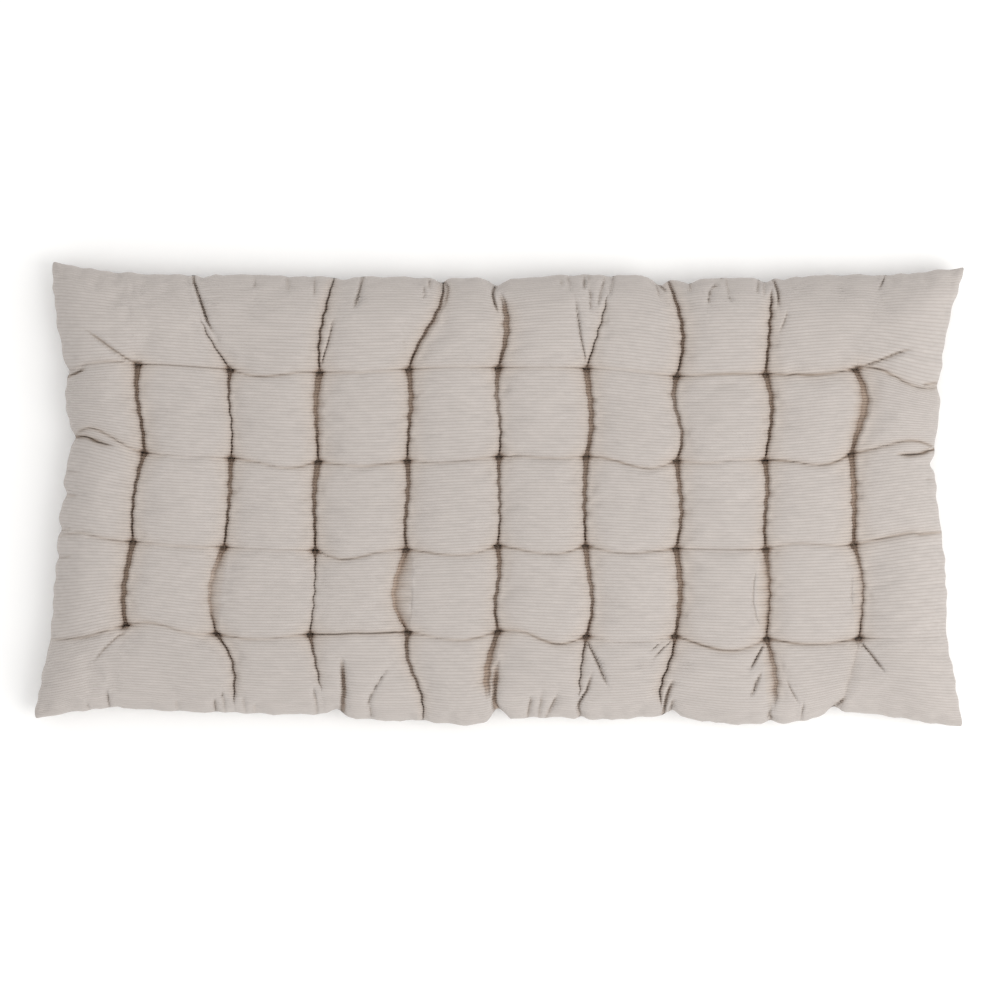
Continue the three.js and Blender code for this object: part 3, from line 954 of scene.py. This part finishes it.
# Slow, uneven shading of the pile, used by the cloth and the thread.
def makeMottleGroup():
    group = newGroup("pileMottle", [("Place", "NodeSocketVector", None), ("Size", "NodeSocketFloat", 12.0),
                                    ("Strength", "NodeSocketFloat", 0.06)],
                     [("Light", "NodeSocketFloat")])
    enter = addNode(group, "NodeGroupInput", -800, 0)
    leave = addNode(group, "NodeGroupOutput", 400, 0)
    broad = addNode(group, "ShaderNodeTexNoise", -500, 100)
    feed(group, broad, {"Detail": 3, "Vector": enter.outputs["Place"], "Scale": enter.outputs["Size"]})
    centred = mathNode(group, "SUBTRACT", -250, 100, broad.outputs["Fac"], 0.5)
    scaled = mathNode(group, "MULTIPLY", -50, 100, centred, enter.outputs["Strength"])
    feed(group, leave, {"Light": mathNode(group, "ADD", 150, 100, scaled, 1.0)})
    return group


# The ribs' own pattern: groove mask, pile height and streaks, from the cloth's own map.
def makeRibGroup():
    group = newGroup("ribPattern",
                     [("Cloth", "NodeSocketVector", None),
                      ("Pitch", "NodeSocketFloat", clothLook["ribPitch"])],
                     [(label, "NodeSocketFloat") for label in ("Groove", "Streak", "Pile", "Height")])
    enter = addNode(group, "NodeGroupInput", -1200, 0)
    leave = addNode(group, "NodeGroupOutput", 900, 0)
    split = addNode(group, "ShaderNodeSeparateXYZ", -1000, 0)
    feed(group, split, {0: enter.outputs["Cloth"]})
    turn = mathNode(group, "DIVIDE", -800, 100, split.outputs["Y"], enter.outputs["Pitch"])
    around = mathNode(group, "MULTIPLY", -600, 100, turn, 2 * math.pi)
    wave = mathNode(group, "COSINE", -400, 100, around)
    half = mathNode(group, "MULTIPLY_ADD", -200, 100, wave, 0.5, 0.5)
    groove = mathNode(group, "POWER", 0, 100, half, 3.0)
    # Each rib's pile lies a little differently along its length.
    rib = mathNode(group, "FLOOR", -600, -200, turn)
    along = mathNode(group, "MULTIPLY", -600, -350, split.outputs["X"], 55.0)
    place = addNode(group, "ShaderNodeCombineXYZ", -400, -250)
    feed(group, place, {0: along, 1: mathNode(group, "MULTIPLY", -400, -400, rib, 7.31)})
    streak = addNode(group, "ShaderNodeTexNoise", -200, -250)
    feed(group, streak, {"Scale": 1.0, "Detail": 4, "Vector": place.outputs[0]})
    # Short pile, brushed a little along the rib.
    brushed = addNode(group, "ShaderNodeMapping", -450, -600)
    feed(group, brushed, {"Scale": (900, 1500, 1), "Vector": enter.outputs["Cloth"]})
    pile = addNode(group, "ShaderNodeTexNoise", -200, -500)
    feed(group, pile, {"Scale": 1.0, "Detail": 3, "Roughness": 0.7, "Vector": brushed.outputs[0]})
    rough = mathNode(group, "MULTIPLY", 100, -400, pile.outputs["Fac"], 1.1)
    ribbed = mathNode(group, "SUBTRACT", 300, -200, rough, groove)
    feed(group, leave, {"Groove": groove, "Streak": streak.outputs["Fac"], "Pile": pile.outputs["Fac"],
                        "Height": ribbed})
    return group


mottleGroup = makeMottleGroup()
ribGroup = makeRibGroup()


def placeGroup(tree, group, x, y):
    return addNode(tree, "ShaderNodeGroup", x, y, node_tree=group)


def makeClothMaterial():
    material, tree, shader = newMaterial("ribbedCloth")
    clothMap = addNode(tree, "ShaderNodeUVMap", -1400, 0, uv_map="clothMap")
    ribs = placeGroup(tree, ribGroup, -1100, 0)
    feed(tree, ribs, {"Pitch": clothLook["ribPitch"], "Cloth": clothMap.outputs[0]})
    place = addNode(tree, "ShaderNodeTexCoord", -1400, -400)
    mottle = placeGroup(tree, mottleGroup, -1100, -400)
    feed(tree, mottle, {"Size": clothLook["mottleSize"], "Strength": clothLook["mottle"],
                        "Place": place.outputs["Object"]})
    shade = addNode(tree, "ShaderNodeAttribute", -1100, -650, attribute_name="foldShade")
    deep = addNode(tree, "ShaderNodeMapRange", -850, -650, interpolation_type="SMOOTHSTEP")
    feed(tree, deep, {"From Min": clothLook["deepFrom"], "From Max": clothLook["deepTo"],
                      "To Max": clothLook["deepMost"], "Value": shade.outputs["Fac"]})
    # Painted light: the cloth turns warmer and lighter beside the creases, by the stored fold shade.
    near = addNode(tree, "ShaderNodeMapRange", -1100, -800, interpolation_type="SMOOTHSTEP")
    feed(tree, near, {"From Min": clothLook["paintedLightFrom"], "From Max": clothLook["paintedLightTo"],
                      "To Max": clothLook["paintedLightMost"], "Value": shade.outputs["Fac"]})
    crown = colourMix(tree, -1000, 250, near.outputs[0], clothLook["crown"], clothLook["slope"])
    # Painted shade in the grooves between the ribs.
    colour = colourMix(tree, -800, 100, ribs.outputs["Groove"], crown, clothLook["groove"])
    # Painted shade and bounced light in the creases, laid on by the stored fold shade.
    fold = colourMix(tree, -800, -50, ribs.outputs["Groove"], clothLook["fold"], clothLook["foldGrooveShade"])
    colour = colourMix(tree, -600, 100, deep.outputs[0], colour, fold)
    # The level creases get a painted shade line, drawn from each point's distance to their line.
    gap = addNode(tree, "ShaderNodeAttribute", -1400, -900, attribute_name="lineGap")
    dark = addNode(tree, "ShaderNodeAttribute", -1400, -1100, attribute_name="lineDark")
    square = mathNode(tree, "MULTIPLY", -1200, -900, gap.outputs["Fac"], gap.outputs["Fac"])
    perLine = panelForm["gapFull"] / clothLook["lineWide"]
    narrow = mathNode(tree, "MULTIPLY", -1000, -900, square, -(perLine ** 2))
    peak = mathNode(tree, "EXPONENT", -800, -900, narrow)
    crease = mathNode(tree, "MULTIPLY", -600, -900, peak, dark.outputs["Fac"])
    colour = colourMix(tree, -500, 250, crease, colour, clothLook["line"])
    # The streaks and the pile lighten and darken the cloth about its own colour.
    streak = mathNode(tree, "MULTIPLY_ADD", -800, -150, ribs.outputs["Streak"], clothLook["streak"], 0.87)
    fluff = mathNode(tree, "MULTIPLY_ADD", -800, -250, ribs.outputs["Pile"], clothLook["fluff"], 0.85)
    light = mathNode(tree, "MULTIPLY", -650, -150, streak, mottle.outputs["Light"])
    light = mathNode(tree, "MULTIPLY", -500, -150, light, fluff)
    lit = addNode(tree, "ShaderNodeVectorMath", -400, 50, operation="SCALE")
    feed(tree, lit, {0: colour, "Scale": light})
    bump = addNode(tree, "ShaderNodeBump", -300, -300)
    feed(tree, bump, {"Strength": clothLook["bump"], "Distance": 0.0006, "Height": ribs.outputs["Height"]})
    feed(tree, shader, {"Base Color": lit.outputs[0], "Normal": bump.outputs[0], "Roughness": 0.92,
                        "Specular IOR Level": 0.2, "Sheen Weight": clothLook["sheen"],
                        "Sheen Roughness": 0.45, "Sheen Tint": (1.0, 0.96, 0.92, 1)})
    return material


# The thread's dark brown is partly its own tone, partly painted shade matched to the shaded creases.
threadLook = {
    "light": (0.40, 0.32, 0.255, 1),
    "dark": (0.20, 0.15, 0.11, 1),
    "twist": 150,
    "sheen": 0.15,
}


def makeThreadMaterial():
    material, tree, shader = newMaterial("tackingThread")
    place = addNode(tree, "ShaderNodeTexCoord", -1100, 0)
    turned = addNode(tree, "ShaderNodeMapping", -900, 0)
    feed(tree, turned, {"Rotation": (0, 0, 0.7), "Vector": place.outputs["Object"]})
    strands = addNode(tree, "ShaderNodeTexWave", -700, 0)
    feed(tree, strands, {"Scale": threadLook["twist"], "Distortion": 0.6, "Vector": turned.outputs[0]})
    mottle = placeGroup(tree, mottleGroup, -700, -300)
    feed(tree, mottle, {"Size": 60.0, "Strength": 0.3, "Place": place.outputs["Object"]})
    colour = colourMix(tree, -400, 0, strands.outputs["Fac"], threadLook["dark"], threadLook["light"])
    lit = addNode(tree, "ShaderNodeVectorMath", -200, 0, operation="SCALE")
    feed(tree, lit, {0: colour, "Scale": mottle.outputs["Light"]})
    bump = addNode(tree, "ShaderNodeBump", -200, -300)
    feed(tree, bump, {"Strength": 0.5, "Distance": 0.0002, "Height": strands.outputs["Fac"]})
    feed(tree, shader, {"Base Color": lit.outputs[0], "Normal": bump.outputs[0], "Roughness": 0.75,
                        "Sheen Weight": threadLook["sheen"]})
    return material


clothMaterial = makeClothMaterial()
threadMaterial = makeThreadMaterial()
for tufts in (topTufts, underTufts):
    tufts.data.materials.append(threadMaterial)
for panel in (topPanel, underPanel):
    panel.data.materials.append(clothMaterial)
print("cloth finished")

# Floor, light and camera
studio = {
    "floor": (0.93, 0.93, 0.93, 1),
    "floorHalf": 6,
    "sky": 0.98,
    "skyColour": (1.0, 0.995, 0.985, 1),
    "keyColour": (1.0, 0.985, 0.96),
    "keyPower": 52,
    "keyPlace": (2.0, -1.0, 2.5),
    "keySize": 2.6,
    "lens": 200,
    "sensor": 36,
    "distance": 7.25,
    "centre": (0.0003, -0.0072),
}


def makeFloor():
    bm = bmesh.new()
    bmesh.ops.create_grid(bm, x_segments=1, y_segments=1, size=studio["floorHalf"])
    mesh = bpy.data.meshes.new("floor")
    bm.to_mesh(mesh)
    bm.free()
    floor = addObject("floor", mesh)
    material, tree, shader = newMaterial("paleFloor")
    feed(tree, shader, {"Base Color": studio["floor"], "Roughness": 0.9})
    mesh.materials.append(material)


def makeLights():
    world = bpy.data.worlds.new("studioAir")
    bpy.context.scene.world = world
    world.use_nodes = True
    air = world.node_tree.nodes["Background"]
    feed(world.node_tree, air, {"Color": studio["skyColour"], "Strength": studio["sky"]})
    key = bpy.data.lights.new("softKey", "AREA")
    key.shape = "SQUARE"
    key.size = studio["keySize"]
    key.energy = studio["keyPower"]
    key.color = studio["keyColour"]
    lamp = addObject("softKey", key)
    lamp.location = studio["keyPlace"]
    lamp.rotation_euler = (-Vector(studio["keyPlace"])).to_track_quat("-Z", "Y").to_euler()


def makeCamera():
    data = bpy.data.cameras.new("overhead")
    data.lens = studio["lens"]
    data.sensor_width = studio["sensor"]
    camera = addObject("overhead", data)
    camera.location = (*studio["centre"], studio["distance"])
    bpy.context.scene.camera = camera


makeFloor()
makeLights()
makeCamera()
bpy.context.scene.view_settings.view_transform = "Standard"
print("studio made")
